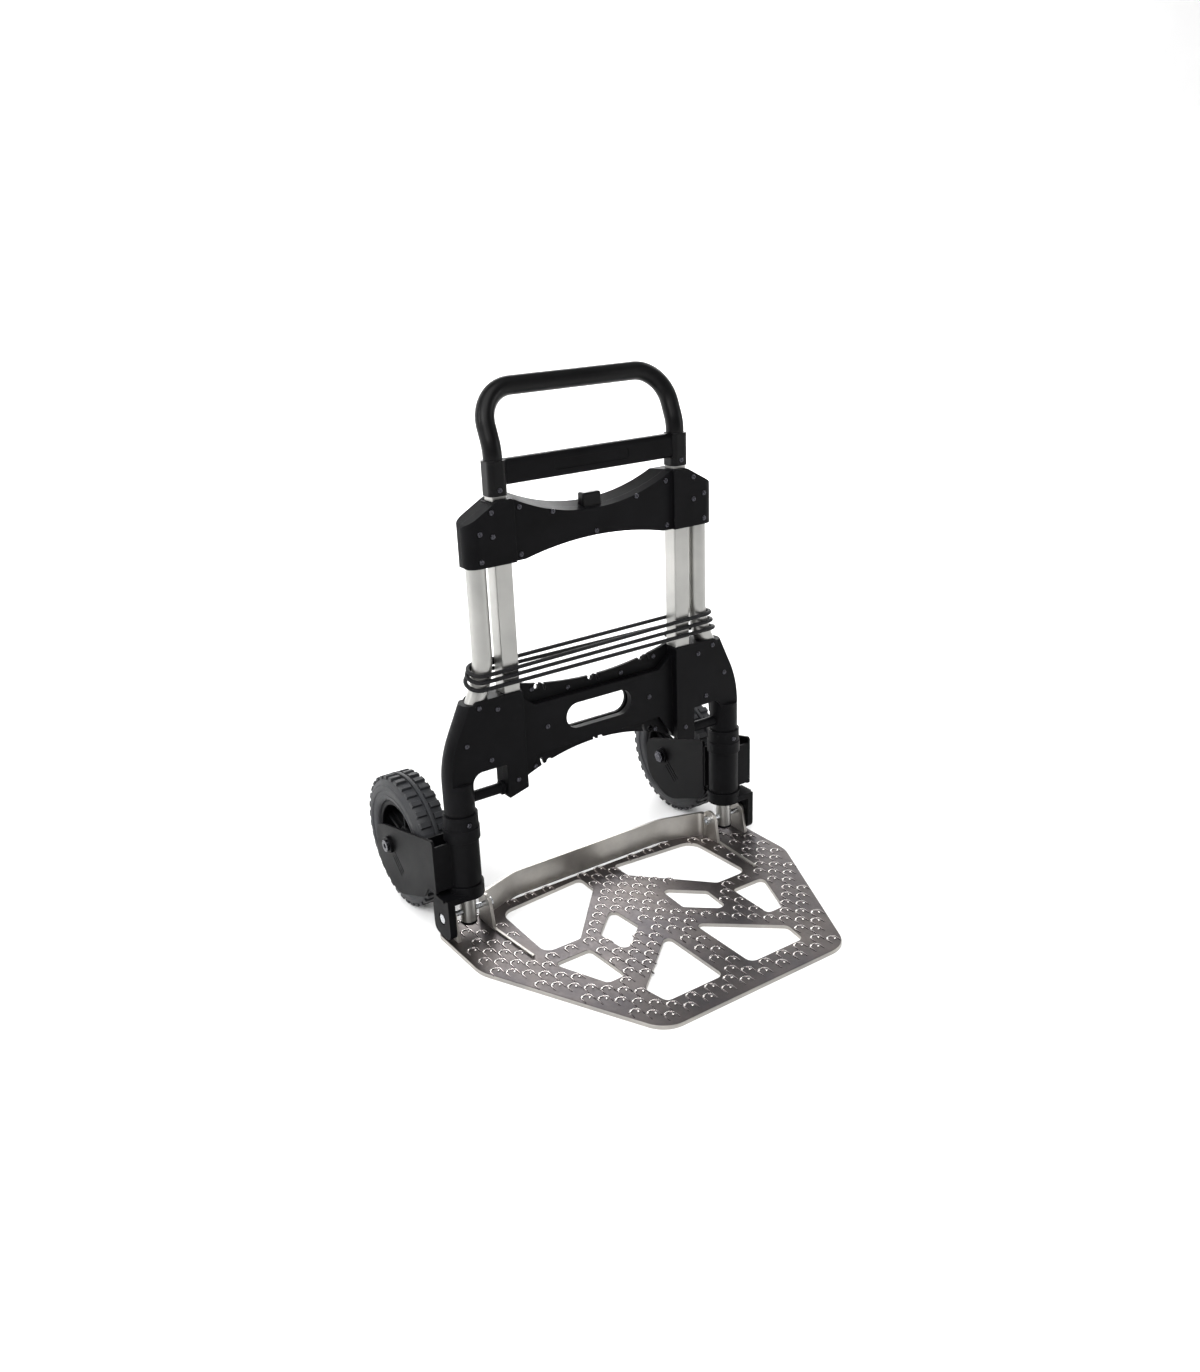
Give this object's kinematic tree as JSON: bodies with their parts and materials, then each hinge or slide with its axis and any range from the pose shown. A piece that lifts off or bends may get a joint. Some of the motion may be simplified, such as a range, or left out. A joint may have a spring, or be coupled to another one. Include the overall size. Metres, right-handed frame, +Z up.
{
  "type": "folding hand truck",
  "caption": "Upright folding two-wheel hand truck with a telescopic handle, a fold-up cast toe plate with cut-outs, and wheel forks that swing in behind the tube frame.",
  "frame": {"origin": "on the floor, on the underside of the toe plate, in the mid plane under the front face of the top bracket", "axes": "+X to the right seen from the front, +Y to the rear where the wheels are, +Z up along the uprights"},
  "size_m": [0.6, 0.6, 0.777],
  "materials": {
    "black_plastic": "fine-grained moulded, satin",
    "anodised_aluminium": "satin anodised",
    "cast_aluminium": "bright tumbled casting with tread pattern",
    "tyre_rubber": "matt rubber",
    "zinc_steel": "zinc plated",
    "spring_steel": "oiled spring wire",
    "black_screw": "black oxide",
    "acetal": "smooth low-friction plastic",
    "elastic_cord": "braided sheath"
  },
  "bodies": {
    "frame": {"round_tube_left": "anodised_aluminium", "round_tube_right": "anodised_aluminium", "square_tube_left": "anodised_aluminium", "square_tube_right": "anodised_aluminium", "top_bracket_front": "black_plastic", "top_bracket_rear": "black_plastic", "top_bracket_screws": "black_screw", "telescope_bush_left": "acetal", "telescope_bush_right": "acetal", "lower_bracket_front": "black_plastic", "lower_bracket_rear": "black_plastic", "lower_bracket_screws": "black_screw", "hook_rail_upper": "black_plastic", "hook_rail_lower": "black_plastic", "hook_rail_screws": "black_screw", "tie_rod_left": "black_plastic", "tie_rod_right": "black_plastic", "leg_collar_left": "black_plastic", "leg_collar_right": "black_plastic", "collar_screws": "black_screw", "leg_spigot_left": "anodised_aluminium", "leg_spigot_right": "anodised_aluminium", "leg_plug_left": "black_plastic", "leg_plug_right": "black_plastic", "foot_collar_left": "black_plastic", "foot_collar_right": "black_plastic", "hinge_pin_left": "zinc_steel", "hinge_pin_right": "zinc_steel", "hinge_nuts": "zinc_steel", "button_springs": "spring_steel", "lock_springs": "spring_steel", "bungee_cord": "elastic_cord", "bungee_crimps": "black_plastic"},
    "handle": {"handle_grip": "black_plastic", "handle_crossbar": "black_plastic", "handle_screws": "black_screw", "handle_tube_left": "anodised_aluminium", "handle_tube_right": "anodised_aluminium", "handle_shoe_left": "acetal", "handle_shoe_right": "acetal"},
    "release_button": {"release_button": "black_plastic"},
    "lock_bolt_left": {"lock_bolt_left": "zinc_steel"},
    "lock_bolt_right": {"lock_bolt_right": "zinc_steel"},
    "toe_plate": {"toe_plate": "cast_aluminium"},
    "fork_left": {"fork_left": "black_plastic", "wheel_axle_left": "zinc_steel", "axle_nut_left": "zinc_steel"},
    "fork_right": {"fork_right": "black_plastic", "wheel_axle_right": "zinc_steel", "axle_nut_right": "zinc_steel"},
    "wheel_left": {"tyre_left": "tyre_rubber", "wheel_rim_left": "black_plastic", "wheel_bush_left": "acetal"},
    "wheel_right": {"tyre_right": "tyre_rubber", "wheel_rim_right": "black_plastic", "wheel_bush_right": "acetal"}
  },
  "joints": [
    {"name": "handle_slide", "type": "slide", "parent": "frame", "child": "handle", "axis": [0, 0, 1], "range_m": [0, 0.305]},
    {"name": "button_press", "type": "slide", "parent": "frame", "child": "release_button", "axis": [0, 0, -1], "range_m": [0, 0.005], "stiffness_N_per_m": 600, "springref_m": -0.002},
    {"name": "lock_bolt_left_slide", "type": "slide", "parent": "frame", "child": "lock_bolt_left", "axis": [1, 0, 0], "range_m": [0, 0.005]},
    {"name": "lock_bolt_right_slide", "type": "slide", "parent": "frame", "child": "lock_bolt_right", "axis": [-1, 0, 0], "range_m": [0, 0.005]},
    {"name": "plate_fold", "type": "hinge", "parent": "frame", "child": "toe_plate", "pos_m": [0, 0.018, 0.04], "axis": [-1, 0, 0], "range_deg": [0, 90]},
    {"name": "fork_left_swing", "type": "hinge", "parent": "frame", "child": "fork_left", "pos_m": [-0.24, 0.019, 0.122], "axis": [0, 0, -1], "range_deg": [0, 90]},
    {"name": "fork_right_swing", "type": "hinge", "parent": "frame", "child": "fork_right", "pos_m": [0.24, 0.019, 0.122], "axis": [0, 0, 1], "range_deg": [0, 90]},
    {"name": "wheel_left_spin", "type": "hinge", "parent": "fork_left", "child": "wheel_left", "pos_m": [-0.256, 0.156, 0.105], "axis": [1, 0, 0], "continuous": true},
    {"name": "wheel_right_spin", "type": "hinge", "parent": "fork_right", "child": "wheel_right", "pos_m": [0.256, 0.156, 0.105], "axis": [1, 0, 0], "continuous": true}
  ],
  "couplings": [
    {"joint": "lock_bolt_left_slide", "follows": "button_press", "ratio": 1},
    {"joint": "lock_bolt_right_slide", "follows": "button_press", "ratio": 1},
    {"joint": "fork_left_swing", "follows": "plate_fold", "ratio": 1},
    {"joint": "fork_right_swing", "follows": "plate_fold", "ratio": 1}
  ]
}
